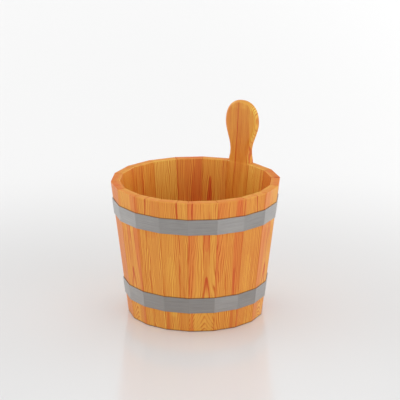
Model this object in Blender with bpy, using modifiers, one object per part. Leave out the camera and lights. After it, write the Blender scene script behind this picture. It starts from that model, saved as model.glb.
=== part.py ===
"""Coopered sauna tub: flared staves, a boarded bottom in a croze groove, and two riveted steel hoops.

One stave runs on above the rim as the handle. The frame has its origin on the tub's axis at floor
level, +Z up, with the handle stave on the +Y side. Every size is in metres.
"""
import math

import bmesh
import bpy
from mathutils import Matrix, Vector
from mathutils.geometry import interpolate_bezier

# Tub body
STAVE_COUNT = 18
TUB_HEIGHT = 0.200
RIM_CORNER_RADIUS = 0.124
BASE_CORNER_RADIUS = 0.0997
WALL_THICKNESS = 0.0125
FIT_GAP = 0.0003

# Handle stave above the rim: half-widths are those of its outer face
HANDLE_HEIGHT = 0.0935
HANDLE_SHOULDER = 0.0013
HANDLE_NECK_HALF_WIDTH = 0.0171
HANDLE_NECK_RISE = 0.0173
HANDLE_GRIP_HALF_WIDTH = 0.0278
HANDLE_GRIP_RISE = 0.0613
HANDLE_TIP_THICKNESS = 0.009
HANDLE_LEAN = math.radians(4.1)

# Bottom, held in the croze groove
BOTTOM_BOARD_COUNT = 4
BOTTOM_RISE = 0.016
BOTTOM_THICKNESS = 0.012
GROOVE_DEPTH = 0.005
DOWEL_RADIUS = 0.003
DOWEL_LENGTH = 0.030
DOWEL_SPACING = 0.070

# Hoops: flat strip with a riveted lap on the handle stave
HOOP_WIDTH = 0.023
HOOP_THICKNESS = 0.001
UPPER_HOOP_DROP = 0.0255
LOWER_HOOP_RISE = 0.0296
LAP_LENGTH = 0.018
JOGGLE_LENGTH = 0.003
RIVET_SPACING = 0.009
RIVET_SHANK_RADIUS = 0.00175
RIVET_HEAD_RADIUS = 0.0030
RIVET_HEAD_HEIGHT = 0.0013
RIVET_TAIL_FLARE = 0.0005

# Roundness of the handle's outline: how far each curve holds its direction, as a share of its run
SWELL_PULL = 0.35
CROWN_PULL = 0.63

# Facets and shading of round forms
HANDLE_CURVE_STEPS = 22
DOWEL_SIDES = 24
RIVET_SIDES = 24
RIVET_HEAD_ARC_STEPS = 6
SMOOTH_ANGLE = math.radians(35.0)

# Colours (linear), roughness and metallic value of each finish
STAVE_WOOD = ((0.66, 0.29, 0.075), 0.55, 0.0)
BOTTOM_WOOD = ((0.60, 0.27, 0.080), 0.60, 0.0)
DOWEL_WOOD = ((0.68, 0.48, 0.26), 0.60, 0.0)
HOOP_STEEL = ((0.38, 0.38, 0.38), 0.45, 1.0)
RIVET_STEEL = ((0.42, 0.42, 0.42), 0.40, 1.0)

# Values that follow from the sizes above
STAVE_STEP = 2.0 * math.pi / STAVE_COUNT
HALF_STEP = STAVE_STEP / 2.0
FLARE = (RIM_CORNER_RADIUS - BASE_CORNER_RADIUS) / TUB_HEIGHT
STAVE_LEAN = math.atan(FLARE * math.cos(HALF_STEP))
BOTTOM_MIDDLE = BOTTOM_RISE + BOTTOM_THICKNESS / 2.0
LEVEL_TOLERANCE = 1e-6
MERGE_DISTANCE = 1e-5
CUTTER_MARGIN = 0.010


def outer_flat(z):
    """Distance from the axis to the flat outer face of a stave at height z."""
    return (BASE_CORNER_RADIUS + FLARE * z) * math.cos(HALF_STEP)


def inner_flat(z):
    """Distance from the axis to the flat inner face of a stave at height z."""
    return outer_flat(z) - WALL_THICKNESS


def edge_half_width(distance):
    """Half-width of a stave, between its two mitred edges, at a distance from the axis."""
    return distance * math.tan(HALF_STEP) - FIT_GAP / 2.0 / math.cos(HALF_STEP)


# Scene helpers
def clear_scene():
    for scene_object in list(bpy.data.objects):
        bpy.data.objects.remove(scene_object, do_unlink=True)


def new_collection(name):
    collection = bpy.data.collections.new(name)
    bpy.context.scene.collection.children.link(collection)
    return collection


def new_material(name, finish):
    colour, roughness, metallic = finish
    material = bpy.data.materials.new(name)
    material.use_nodes = True
    shader = material.node_tree.nodes["Principled BSDF"]
    shader.inputs["Base Color"].default_value = (*colour, 1.0)
    shader.inputs["Roughness"].default_value = roughness
    shader.inputs["Metallic"].default_value = metallic
    material.diffuse_color = (*colour, 1.0)
    return material


def mesh_from_bmesh(name, shape):
    mesh = bpy.data.meshes.new(name)
    shape.to_mesh(mesh)
    shape.free()
    return mesh


def add_part(name, mesh, material):
    part = bpy.data.objects.new(name, mesh)
    if material.name not in mesh.materials:
        mesh.materials.append(material)
    tub_parts.objects.link(part)
    return part


def add_cutter(name, mesh):
    cutter = bpy.data.objects.new(name, mesh)
    cutter.hide_render = True
    cutter.display_type = "WIRE"
    tub_cutters.objects.link(cutter)
    return cutter


def add_boolean(part, cutter, operation="DIFFERENCE"):
    modifier = part.modifiers.new(cutter.name, "BOOLEAN")
    modifier.operation = operation
    modifier.solver = "EXACT"
    modifier.object = cutter


def shade_round(mesh):
    mesh.shade_smooth()
    mesh.set_sharp_from_angle(angle=SMOOTH_ANGLE)


def prism_mesh(name, sides, radius, length):
    """Regular prism along Z, centred on its origin, with a flat side square to +Y."""
    shape = bmesh.new()
    bmesh.ops.create_cone(shape, cap_ends=True, segments=sides, radius1=radius, radius2=radius,
                          depth=length, matrix=Matrix.Rotation(math.pi / sides, 4, "Z"))
    return mesh_from_bmesh(name, shape)


# Staves
def stave_mesh():
    """A box whose eight corners are moved to the mitred, flared shape of one stave on +Y."""
    shape = bmesh.new()
    bmesh.ops.create_cube(shape, size=2.0)
    for corner in shape.verts:
        z = TUB_HEIGHT * (corner.co.z + 1.0) / 2.0
        distance = outer_flat(z) if corner.co.y > 0.0 else inner_flat(z)
        corner.co = Vector((corner.co.x * edge_half_width(distance), distance, z))
    return mesh_from_bmesh("stave", shape)


def add_staves(croze):
    mesh = stave_mesh()
    for number in range(1, STAVE_COUNT):
        stave = add_part(f"stave_{number:02d}", mesh, stave_wood)
        stave.rotation_euler.z = -number * STAVE_STEP
        add_boolean(stave, croze)


# Handle stave
def handle_outline():
    """Front outline of the handle stave's outer face, as (x, z) points anticlockwise from its foot."""
    neck_z = TUB_HEIGHT + HANDLE_NECK_RISE
    grip_z = TUB_HEIGHT + HANDLE_GRIP_RISE
    tip_z = TUB_HEIGHT + HANDLE_HEIGHT
    rim = Vector((edge_half_width(outer_flat(TUB_HEIGHT)), TUB_HEIGHT))
    root = rim - Vector((HANDLE_SHOULDER, 0.0))
    neck = Vector((HANDLE_NECK_HALF_WIDTH, neck_z))
    grip = Vector((HANDLE_GRIP_HALF_WIDTH, grip_z))
    tip = Vector((0.0, tip_z))
    root_pull = (neck - root) * SWELL_PULL
    neck_pull = Vector((0.0, (neck_z - TUB_HEIGHT) * SWELL_PULL))
    swell_pull = Vector((0.0, (grip_z - neck_z) * SWELL_PULL))
    crown_pull = Vector((0.0, (tip_z - grip_z) * CROWN_PULL))
    tip_pull = Vector((HANDLE_GRIP_HALF_WIDTH * CROWN_PULL, 0.0))
    stretches = (
        (root, root + root_pull, neck - neck_pull, neck),
        (neck, neck + swell_pull, grip - swell_pull, grip),
        (grip, grip + crown_pull, tip + tip_pull, tip),
    )
    foot = Vector((edge_half_width(outer_flat(0.0)), 0.0))
    right = [foot, rim, root]
    for stretch in stretches:
        right += interpolate_bezier(*stretch, HANDLE_CURVE_STEPS)[1:]
    left = [Vector((-point.x, point.y)) for point in reversed(right[:-1])]
    return right + left


def handle_blank_mesh():
    """The outline as a flat board: x across, y along the stave, z from -1 (inside) to +1 (outside)."""
    curve = bpy.data.curves.new("handle_outline", "CURVE")
    curve.dimensions = "2D"
    curve.fill_mode = "BOTH"
    curve.extrude = 1.0
    outline = handle_outline()
    spline = curve.splines.new("POLY")
    spline.points.add(len(outline) - 1)
    spline.use_cyclic_u = True
    for spline_point, (x, z) in zip(spline.points, outline):
        spline_point.co = (x, z, 0.0, 1.0)
    blank = bpy.data.objects.new("handle_blank", curve)
    tub_cutters.objects.link(blank)
    graph = bpy.context.evaluated_depsgraph_get()
    mesh = bpy.data.meshes.new_from_object(blank.evaluated_get(graph))
    bpy.data.objects.remove(blank, do_unlink=True)
    return mesh


def handle_faces(z):
    """Distances from the axis to the inner and outer faces of the handle stave at height z."""
    if z <= TUB_HEIGHT:
        return inner_flat(z), outer_flat(z)
    above = z - TUB_HEIGHT
    thinning = (WALL_THICKNESS - HANDLE_TIP_THICKNESS) * above / HANDLE_HEIGHT
    inside = inner_flat(TUB_HEIGHT) + above * math.tan(HANDLE_LEAN)
    return inside, inside + WALL_THICKNESS - thinning


def handle_mesh():
    """The flat blank, bent to the lean of the wall below the rim and to the handle's own lean above."""
    mesh = handle_blank_mesh()
    shape = bmesh.new()
    shape.from_mesh(mesh)
    bmesh.ops.remove_doubles(shape, verts=shape.verts, dist=MERGE_DISTANCE)
    everything = shape.verts[:] + shape.edges[:] + shape.faces[:]
    bmesh.ops.bisect_plane(shape, geom=everything, dist=LEVEL_TOLERANCE,
                           plane_co=(0.0, TUB_HEIGHT, 0.0), plane_no=(0.0, 1.0, 0.0))
    for vertex in shape.verts:
        across, z, side = vertex.co
        inside, outside = handle_faces(z)
        distance = outside if side > 0.0 else inside
        vertex.co = Vector((across * distance / outside, distance, z))
    bmesh.ops.recalc_face_normals(shape, faces=shape.faces)
    shape.to_mesh(mesh)
    shape.free()
    mesh.name = "handle_stave"
    shade_round(mesh)
    return mesh


def add_handle_stave(croze):
    handle = add_part("handle_stave", handle_mesh(), handle_wood)
    add_boolean(handle, croze)


# Bottom
def bottom_flat():
    """Distance from the axis to the flat edges of the bottom, which stand in the groove."""
    return inner_flat(BOTTOM_MIDDLE) + GROOVE_DEPTH - FIT_GAP


def add_croze_cutter():
    radius = (bottom_flat() + FIT_GAP) / math.cos(HALF_STEP)
    height = BOTTOM_THICKNESS + 2.0 * FIT_GAP
    croze = add_cutter("croze", prism_mesh("croze", STAVE_COUNT, radius, height))
    croze.location.z = BOTTOM_MIDDLE
    return croze


def dowel_places():
    """Centres of the dowels: a pair across each joint between neighbouring bottom boards."""
    board_width = 2.0 * bottom_flat() / BOTTOM_BOARD_COUNT
    for joint in range(1, BOTTOM_BOARD_COUNT):
        y = -bottom_flat() + joint * board_width
        for x in (-DOWEL_SPACING / 2.0, DOWEL_SPACING / 2.0):
            yield joint, Vector((x, y, BOTTOM_MIDDLE))


def add_dowels():
    """Dowels lie along Y; returns their hole cutters, listed by joint."""
    along_y = math.radians(90.0)
    mesh = prism_mesh("bottom_dowel", DOWEL_SIDES, DOWEL_RADIUS, DOWEL_LENGTH)
    shade_round(mesh)
    hole_mesh = prism_mesh("dowel_hole", DOWEL_SIDES, DOWEL_RADIUS + FIT_GAP, DOWEL_LENGTH + 2.0 * FIT_GAP)
    holes = {}
    for number, (joint, place) in enumerate(dowel_places(), start=1):
        dowel = add_part(f"bottom_dowel_{number}", mesh, dowel_wood)
        hole = add_cutter(f"dowel_hole_{number}", hole_mesh)
        for piece in (dowel, hole):
            piece.location = place
            piece.rotation_euler.x = along_y
        holes.setdefault(joint, []).append(hole)
    return holes


def add_bottom_boards(dowel_holes):
    """Boards lie along X, edge to edge along Y, and are trimmed to the outline of the groove."""
    radius = bottom_flat() / math.cos(HALF_STEP)
    outline_height = BOTTOM_THICKNESS + 2.0 * CUTTER_MARGIN
    outline = add_cutter("bottom_outline", prism_mesh("bottom_outline", STAVE_COUNT, radius, outline_height))
    outline.location.z = BOTTOM_MIDDLE
    board_width = 2.0 * bottom_flat() / BOTTOM_BOARD_COUNT
    for board_index in range(BOTTOM_BOARD_COUNT):
        first = board_index == 0
        last = board_index == BOTTOM_BOARD_COUNT - 1
        low = -bottom_flat() + board_index * board_width + (-CUTTER_MARGIN if first else FIT_GAP / 2.0)
        high = -bottom_flat() + (board_index + 1) * board_width + (CUTTER_MARGIN if last else -FIT_GAP / 2.0)
        size = Vector((2.0 * (radius + CUTTER_MARGIN), high - low, BOTTOM_THICKNESS))
        shape = bmesh.new()
        bmesh.ops.create_cube(shape, size=1.0, matrix=Matrix.Diagonal((*size, 1.0)))
        name = f"bottom_board_{board_index + 1}"
        board = add_part(name, mesh_from_bmesh(name, shape), bottom_wood)
        board.location = (0.0, (low + high) / 2.0, BOTTOM_MIDDLE)
        add_boolean(board, outline, "INTERSECT")
        for joint in (board_index, board_index + 1):
            for hole in dowel_holes.get(joint, []):
                add_boolean(board, hole)


# Hoops and rivets
def hoop_stations():
    """Plan of a hoop, clockwise from its inner end: stations on the lap and at the staves' corners."""
    lap_end = LAP_LENGTH / 2.0
    raised = HOOP_THICKNESS + FIT_GAP
    joggle_top = -lap_end - FIT_GAP
    corners = [("corner", index, 0.0) for index in range(STAVE_COUNT)]
    return [
        ("lap", -lap_end, 0.0),
        *corners,
        ("lap", joggle_top - JOGGLE_LENGTH, 0.0),
        ("lap", joggle_top, raised),
        ("lap", lap_end, raised),
    ]


def hoop_point(station, z):
    """Place of one station of the hoop's inner surface at height z.

    A corner station stands on the edge between two staves. A lap station lies on the handle
    stave's face, so far sideways from its middle and raised so far off it.
    """
    kind, value, raised = station
    distance = outer_flat(z) + (FIT_GAP + raised) / math.cos(STAVE_LEAN)
    if kind == "lap":
        return Vector((value, distance, z))
    angle = math.pi / 2.0 - HALF_STEP - value * STAVE_STEP
    radius = distance / math.cos(HALF_STEP)
    return Vector((radius * math.cos(angle), radius * math.sin(angle), z))


def hoop_mesh(name, low_z):
    """Open strip that runs once round the staves and laps over its own start on the handle stave."""
    high_z = low_z + HOOP_WIDTH
    shape = bmesh.new()
    stations = hoop_stations()
    lower = [shape.verts.new(hoop_point(station, low_z)) for station in stations]
    edges = [shape.edges.new(pair) for pair in zip(lower, lower[1:])]
    extruded = bmesh.ops.extrude_edge_only(shape, edges=edges)["geom"]
    upper = [item for item in extruded if isinstance(item, bmesh.types.BMVert)]
    for vertex in upper:
        station = min(stations, key=lambda item: (hoop_point(item, low_z) - vertex.co).length)
        vertex.co = hoop_point(station, high_z)
    return mesh_from_bmesh(name, shape)


def rivet_profile():
    """Half-section of a rivet from the top of its head to its flush, flared tail; z is 0 at the tail."""
    grip = 2.0 * HOOP_THICKNESS + FIT_GAP
    seat = grip + FIT_GAP
    dome = []
    for step in range(RIVET_HEAD_ARC_STEPS + 1):
        angle = math.pi / 2.0 * step / RIVET_HEAD_ARC_STEPS
        dome.append((RIVET_HEAD_RADIUS * math.sin(angle), seat + RIVET_HEAD_HEIGHT * math.cos(angle)))
    shank = RIVET_SHANK_RADIUS
    flare = shank + RIVET_TAIL_FLARE
    return dome + [(shank, seat), (shank, RIVET_TAIL_FLARE), (flare, 0.0), (0.0, 0.0)]


def rivet_hole_profile():
    """The rivet's shank and flared tail with clearance, run past both faces of the lap."""
    grip = 2.0 * HOOP_THICKNESS + FIT_GAP
    shank = RIVET_SHANK_RADIUS + FIT_GAP
    flare = shank + RIVET_TAIL_FLARE
    top = grip + HOOP_THICKNESS
    below = -FIT_GAP / 2.0
    return [(0.0, top), (shank, top), (shank, RIVET_TAIL_FLARE), (flare, 0.0), (flare, below), (0.0, below)]


def turned_mesh(name, profile):
    shape = bmesh.new()
    points = [shape.verts.new((x, 0.0, z)) for x, z in profile]
    for pair in zip(points, points[1:]):
        shape.edges.new(pair)
    return mesh_from_bmesh(name, shape)


def turn(part):
    screw = part.modifiers.new("turned", "SCREW")
    screw.axis = "Z"
    screw.angle = 2.0 * math.pi
    screw.steps = RIVET_SIDES
    screw.render_steps = RIVET_SIDES
    screw.use_merge_vertices = True
    screw.merge_threshold = MERGE_DISTANCE


def place_on_lap(piece, sideways, z):
    """Stand a turned piece on the handle stave's face, its axis square to that face."""
    piece.location = (sideways, outer_flat(z) + FIT_GAP / math.cos(STAVE_LEAN), z)
    piece.rotation_euler.x = -(math.pi / 2.0 + STAVE_LEAN)


def add_hoop(name, low_z):
    hoop = add_part(name, hoop_mesh(name, low_z), hoop_steel)
    strip = hoop.modifiers.new("strip thickness", "SOLIDIFY")
    strip.thickness = HOOP_THICKNESS
    strip.offset = 1.0
    strip.use_even_offset = True
    for number, sideways in enumerate((-RIVET_SPACING / 2.0, RIVET_SPACING / 2.0), start=1):
        hole = add_cutter(f"{name}_hole_{number}", turned_mesh("rivet_hole", rivet_hole_profile()))
        turn(hole)
        rivet = add_part(f"{name}_rivet_{number}", turned_mesh("rivet", rivet_profile()), rivet_steel)
        turn(rivet)
        for piece in (hole, rivet):
            place_on_lap(piece, sideways, low_z + HOOP_WIDTH / 2.0)
        add_boolean(hoop, hole)


clear_scene()
tub_parts = new_collection("sauna_tub")
tub_cutters = new_collection("sauna_tub_cutters")
stave_wood = new_material("stave_wood", STAVE_WOOD)
handle_wood = new_material("handle_wood", STAVE_WOOD)
bottom_wood = new_material("bottom_wood", BOTTOM_WOOD)
dowel_wood = new_material("dowel_wood", DOWEL_WOOD)
hoop_steel = new_material("hoop_steel", HOOP_STEEL)
rivet_steel = new_material("rivet_steel", RIVET_STEEL)

croze_cutter = add_croze_cutter()
add_staves(croze_cutter)
add_handle_stave(croze_cutter)
add_bottom_boards(add_dowels())
add_hoop("upper_hoop", TUB_HEIGHT - UPPER_HOOP_DROP - HOOP_WIDTH)
add_hoop("lower_hoop", LOWER_HOOP_RISE)
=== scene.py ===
"""Looks of the sauna tub: eased edges, grained wood, brushed hoops, and a pale studio around them.

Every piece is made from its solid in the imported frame. Lengths are in metres, and inside the wood and
steel patterns in millimetres.
"""
import math
from dataclasses import asdict, dataclass, fields

import bmesh
import bpy
from mathutils import Matrix, Vector


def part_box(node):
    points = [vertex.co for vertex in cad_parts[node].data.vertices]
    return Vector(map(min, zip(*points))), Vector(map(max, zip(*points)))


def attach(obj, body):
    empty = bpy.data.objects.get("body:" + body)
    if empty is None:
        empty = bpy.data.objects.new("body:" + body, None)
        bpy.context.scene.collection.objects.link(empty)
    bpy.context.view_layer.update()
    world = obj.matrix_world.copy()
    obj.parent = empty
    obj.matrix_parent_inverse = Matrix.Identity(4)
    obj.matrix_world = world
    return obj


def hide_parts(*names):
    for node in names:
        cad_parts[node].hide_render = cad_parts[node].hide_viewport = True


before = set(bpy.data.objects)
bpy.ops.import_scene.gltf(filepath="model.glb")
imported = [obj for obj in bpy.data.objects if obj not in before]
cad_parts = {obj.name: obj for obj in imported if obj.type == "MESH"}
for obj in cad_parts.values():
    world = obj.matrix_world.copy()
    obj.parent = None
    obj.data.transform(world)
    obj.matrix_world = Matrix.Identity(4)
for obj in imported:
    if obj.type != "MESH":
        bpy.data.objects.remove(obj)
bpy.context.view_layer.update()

MILLIMETRES = 1000.0
UP = Vector((0.0, 0.0, 1.0))

# What the frame holds
HANDLE = "handle_stave"
NODE_NAMES = sorted(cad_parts)
STAVE_NAMES = [HANDLE] + [name for name in NODE_NAMES if name.startswith("stave_")]
BOARD_NAMES = [name for name in NODE_NAMES if name.startswith("bottom_board")]
DOWEL_NAMES = [name for name in NODE_NAMES if name.startswith("bottom_dowel")]
RIVET_NAMES = [name for name in NODE_NAMES if "rivet" in name]
STAVE_MITRE = math.pi / len(STAVE_NAMES)
RIM_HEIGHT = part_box("stave_01")[1].z

# The photograph's camera
CAMERA_PLACE = (1.6532, -2.3386, 1.0346)
CAMERA_TILT = math.radians(16.834)
CAMERA_TURN = math.radians(35.132)
CAMERA_LENS = 184.15
CAMERA_SENSOR = 36.0

# Easing of the edges
MERGE_DISTANCE = 1e-6
FLAT_ANGLE = math.radians(1.0)
SHARP_ANGLE = math.radians(12.0)
EASE_SEGMENTS = 3
RIM_EASE = 0.0008
FOOT_EASE = 0.0003
SEAM_EASE = 0.00015
BOARD_EASE = 0.0004
HOOP_EASE = 0.0002
SHORTEST_EASED_EDGE = 0.004
# The steepest rise of an edge that counts as level
LEVEL_EDGE = 0.3

# Shaping of the staves and of the grip above the rim
SEAM_CLOSING = 0.000148
GRIP_EASE = 0.0022
GRIP_INNER_EASE = 0.0038
GRIP_SEGMENTS = 6
GRIP_SWELL = 0.04
GRIP_SWELL_RISE = 0.008
# How squarely a stave's outer face looks outwards, and the grip's inner face inwards, at the least
OUTER_FACING = 0.9
INNER_FACING = 0.7


def srgb(red, green, blue):
    """Linear colour of an 8-bit screen colour, by the standard curve."""
    linear = []
    for level in (red, green, blue):
        share = level / 255.0
        linear.append(share / 12.92 if share <= 0.04045 else ((share + 0.055) / 1.055) ** 2.4)
    return (*linear, 1.0)


class Graph:
    """Shorthand for a node tree: most methods add nodes and return the socket that they give."""

    def __init__(self, tree):
        self.tree = tree

    def node(self, kind, **settings):
        """The new node itself, with its settings."""
        made = self.tree.nodes.new(kind)
        for name, value in settings.items():
            setattr(made, name, value)
        return made

    def feed(self, socket, value):
        """Link a socket to another one, or set its value."""
        if isinstance(value, bpy.types.NodeSocket):
            self.tree.links.new(value, socket)
        else:
            socket.default_value = value

    def math(self, operation, *values, clamp=False):
        made = self.node("ShaderNodeMath", operation=operation, use_clamp=clamp)
        for socket, value in zip(made.inputs, values):
            self.feed(socket, value)
        return made.outputs[0]

    def square(self, value):
        return self.math("POWER", value, 2.0)

    def vector_math(self, operation, *values):
        made = self.node("ShaderNodeVectorMath", operation=operation)
        for socket, value in zip(made.inputs, values):
            self.feed(socket, value)
        gives_number = operation in ("DOT_PRODUCT", "DISTANCE")
        return made.outputs["Value"] if gives_number else made.outputs["Vector"]

    def split(self, vector):
        """The three parts of a vector."""
        made = self.node("ShaderNodeSeparateXYZ")
        self.feed(made.inputs[0], vector)
        return made.outputs

    def join(self, **parts):
        """A vector from its named parts; a part that isn't named is 0."""
        made = self.node("ShaderNodeCombineXYZ")
        for name, value in parts.items():
            self.feed(made.inputs[name], value)
        return made.outputs[0]

    def stretch(self, vector, cell, shift=None):
        """The vector measured in cells of the given lengths, moved by a seed."""
        cells = self.vector_math("MULTIPLY", vector, tuple(1.0 / length for length in cell))
        return cells if shift is None else self.vector_math("ADD", cells, shift)

    def noise(self, vector, detail=2.0, roughness=0.5):
        made = self.node("ShaderNodeTexNoise", noise_dimensions="3D")
        self.feed(made.inputs["Vector"], vector)
        made.inputs["Scale"].default_value = 1.0
        made.inputs["Detail"].default_value = detail
        made.inputs["Roughness"].default_value = roughness
        return made.outputs["Fac"]

    def swing(self, value, reach):
        """A noise value turned into a move of up to half the reach either way."""
        return self.math("MULTIPLY", self.math("SUBTRACT", value, 0.5), reach)

    def span(self, value, low, high, start=0.0, end=1.0, smooth=True):
        """The value's place between low and high, carried to between start and end."""
        kind = "SMOOTHSTEP" if smooth else "LINEAR"
        made = self.node("ShaderNodeMapRange", interpolation_type=kind, clamp=True)
        for socket, number in zip(made.inputs, (value, low, high, start, end)):
            self.feed(socket, number)
        return made.outputs["Result"]

    def ramp(self, value, stops):
        """The level or colour between the stops at a value."""
        made = self.node("ShaderNodeValToRGB")
        self.feed(made.inputs["Fac"], value)
        elements = made.color_ramp.elements
        while len(elements) < len(stops):
            elements.new(1.0)
        for element, (place, level) in zip(elements, stops):
            element.position = place
            element.color = level if isinstance(level, tuple) else (level, level, level, 1.0)
        return made.outputs["Color"]

    def mix(self, share, first, second, blend="MIX"):
        made = self.node("ShaderNodeMix", data_type="RGBA", blend_type=blend)
        self.feed(made.inputs["Factor"], share)
        self.feed(made.inputs["A"], first)
        self.feed(made.inputs["B"], second)
        colours = [socket for socket in made.outputs if socket.type == "RGBA"]
        return colours[0]

    def group(self, tree, **values):
        """Use a node group with the given inputs; returns its outputs."""
        made = self.node("ShaderNodeGroup", node_tree=tree)
        for name, value in values.items():
            self.feed(made.inputs[name], value)
        return made.outputs

    def facing(self, normal, direction):
        """How squarely a surface faces along a direction, either way: 0 to 1."""
        turned = self.vector_math("DOT_PRODUCT", normal, tuple(direction))
        return self.square(self.math("ABSOLUTE", turned))

    def bump(self, height, strength, distance):
        made = self.node("ShaderNodeBump")
        made.inputs["Strength"].default_value = strength
        made.inputs["Distance"].default_value = distance
        self.feed(made.inputs["Height"], height)
        return made.outputs["Normal"]


def new_group(name, inputs, outputs):
    """A node group's graph, inputs and outputs, from socket names and their kinds."""
    tree = bpy.data.node_groups.new(name, "ShaderNodeTree")
    for socket, kind in inputs.items():
        tree.interface.new_socket(socket, in_out="INPUT", socket_type=f"NodeSocket{kind}")
    for socket, kind in outputs.items():
        tree.interface.new_socket(socket, in_out="OUTPUT", socket_type=f"NodeSocket{kind}")
    graph = Graph(tree)
    return graph, graph.node("NodeGroupInput").outputs, graph.node("NodeGroupOutput").inputs


def new_material(name):
    """A material, its graph and its shader."""
    material = bpy.data.materials.new(name)
    material.use_nodes = True
    return material, Graph(material.node_tree), material.node_tree.nodes["Principled BSDF"]


# Wood colours from yellow early wood to red heartwood, by how red the wood is there
WOOD_HUES = (
    (0.00, srgb(237, 188, 64)),
    (0.14, srgb(232, 163, 51)),
    (0.35, srgb(227, 150, 46)),
    (0.60, srgb(223, 130, 40)),
    (0.85, srgb(219, 108, 34)),
    (1.00, srgb(208, 90, 28)),
)
# What a wood colour is multiplied by in its palest and its darkest fibres
PALE_FIBRE = (1.09, 1.26, 2.1, 1.0)
DARK_FIBRE = (0.80, 0.40, 0.15, 1.0)
FIBRE_LEVEL = -0.22

# Surface of the wood
WOOD_ROUGHNESS = (0.38, 0.5)
WOOD_SPECULAR = 0.4
WOOD_BUMP_STRENGTH = 0.25
WOOD_BUMP_DISTANCE = 0.0002
RING_RELIEF = 0.4
STROKE_RELIEF = 0.8

# Noise in the grain: the lengths of its cells across, into and along the board, and how far it reaches
SEED_STEP = 7.31
WANDER_CELL = (40.0, 80.0, 110.0)
WANDER_REACH = 4.0
RIPPLE_CELL = (6.0, 24.0, 22.0)
RIPPLE_REACH = 2.2
BAND_CELL = (9.0, 14.0, 200.0)
BAND_REACH = 0.5
FIBRE_CELL = (2.2, 2.2, 40.0)
FIBRE_REACH = 0.4
FIBRE_SPAN = (0.2, 0.8)
STROKE_CELL = (0.6, 0.6, 40.0)
STROKE_REACH = 0.5

# Annual rings: darkness across one ring, and how much of it shows where the rings are weak and strong
RING_PROFILE = ((0.0, 0.3), (0.1, 0.0), (0.5, 0.1), (0.75, 0.9), (0.92, 1.0), (1.0, 0.3))
RING_CELL = (12.0, 40.0, 60.0)
RING_REACH = 2.8
STRENGTH_CELL = (5.0, 20.0, 60.0)
STRENGTH_SPAN = (0.3, 0.7)
WEAK_RING = 0.2
RING_GAIN = 0.7
WEAK_FALSE_RING = 0.65
FALSE_RING_GAIN = -0.5
FALSE_RINGS_PER_RING = 1.618
BOW_RUN = 100.0
BOW_POWER = 4.0
EYE_HALF_WIDTH = 5.0
EYE_HALF_LENGTH = 22.0

# Streaks: the length of their points and the share of it over which they fade in, and the run of their lean
STREAK_POINT = 45.0
STREAK_TIP_FADE = 0.08
LEAN_RUN = 100.0

# Flames: runs are shares of the length from the tip, and edges are millimetres beyond the outline
FLAME_TIP_FADE = (-0.02, 0.08)
FLAME_FOOT_FADE = (0.85, 1.0)
FLAME_CORE = 0.3
FLAME_FILL_EDGE = (-0.6, 0.2)
FLAME_FILL_RUN = (0.1, 0.5)
FLAME_HOLLOW_EDGE = (-1.4, -0.4)
FLAME_HOLLOW_RUN = (0.45, 0.65)
FLAME_HOLLOW_SHARE = 0.3

# End grain, side grain, and a painted highlight on edges between an upper end and a face
END_GRAIN_DARK = 0.12
END_GRAIN_RED = 0.14
END_GRAIN_EVENNESS = 0.5
END_GRAIN_ROUGH = 0.35
END_GRAIN_LINES = 0.3
END_GRAIN_STREAKS = 0.35
SIDE_GRAIN_TURN = (0.02, 0.4)
SIDE_GRAIN_DARK = 0.09
SIDE_GRAIN_RED = -0.15
SIDE_GRAIN_ROUGH = 0.2
SIDE_GRAIN_LINES = 1.2
EDGE_HIGHLIGHT_GAIN = 4.0
EDGE_HIGHLIGHT_DARK = -1.0
USUAL_REDNESS = 0.45

# Painted shade: the wood darker and yellower up from the foot and on its inner face, where less light falls
FOOT_SHADE = 0.33
FOOT_SHADE_REACH = 300.0
SHADE_YELLOW = -0.7
INSIDE_SHADE = 0.14
INSIDE_YELLOW = -0.12
INSIDE_DEPTHS = (6.0, 11.0)

# Painted contact shade along the foot and over the hoops' tops: the height of each line of it, how far it
# reaches from there, and how much of the wood it hides
CONTACT_SHADE_LINES = ((0.0, 2.4, 0.7), (0.0, 60.0, 0.05), (53.3, 1.1, 0.52), (176.1, 1.1, 0.52))
CONTACT_SHADE_COLOUR = srgb(74, 52, 34)
CONTACT_SHADE_DEPTHS = (1.0, 2.0)

# Painted shade along the seams between the staves, where the gaps between them would be in shade
SEAM_REACH = 0.8
SEAM_DARK = 0.4
SEAM_TOP = 202.0
SEAM_TOP_FADE = 1.0


@dataclass
class Streak:
    """A band along the grain, pointed at both ends, which makes the wood darker and redder there.

    Below zero it makes the wood paler and yellower. Its edges fade out over the soft length, and it leans
    across the board by the lean in a hundred. Calm is how much of the rings' lines it hides.
    """
    across: float
    half_width: float
    low: float
    high: float
    dark: float
    red: float = 0.0
    soft: float = 1.0
    lean: float = 0.0
    calm: float = 0.0


@dataclass
class Flame:
    """A dark arch of the rings from its tip to its open foot.

    The fill makes it dark inside near the tip and pale inside near the foot.
    """
    across: float
    tip: float
    foot: float
    half_width: float
    dark: float
    red: float
    fill: float = 1.0
    taper: float = 0.8
    edge: float = 1.0


@dataclass
class Board:
    """How a board was cut from its log, in millimetres from the middle of its outer face's foot.

    Redness runs from yellow, 0, to red, 1. The rings lie round the pith, and rise along the board by
    the bow at a hundred millimetres from the bow's middle. Ring share is how much their dark lines show,
    and false share how much the finer lines among them do. The eye is a place where they close round a
    swelling of the given height. Polish takes off roughness. The share of painted shade is how much of it
    shows: darker up from the foot, on the inner face, and along the foot and the hoops' tops.
    """
    redness: float
    pith_across: float
    pith_depth: float = 20.0
    ring_width: float = 2.4
    ring_share: float = 1.15
    false_share: float = 1.0
    bow: float = -2.0
    bow_middle: float = 110.0
    eye_across: float = 0.0
    eye_along: float = 0.0
    eye_height: float = 0.0
    polish: float = 0.0
    painted_shade_share: float = 1.0
    streaks: tuple = ()
    flames: tuple = ()


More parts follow.
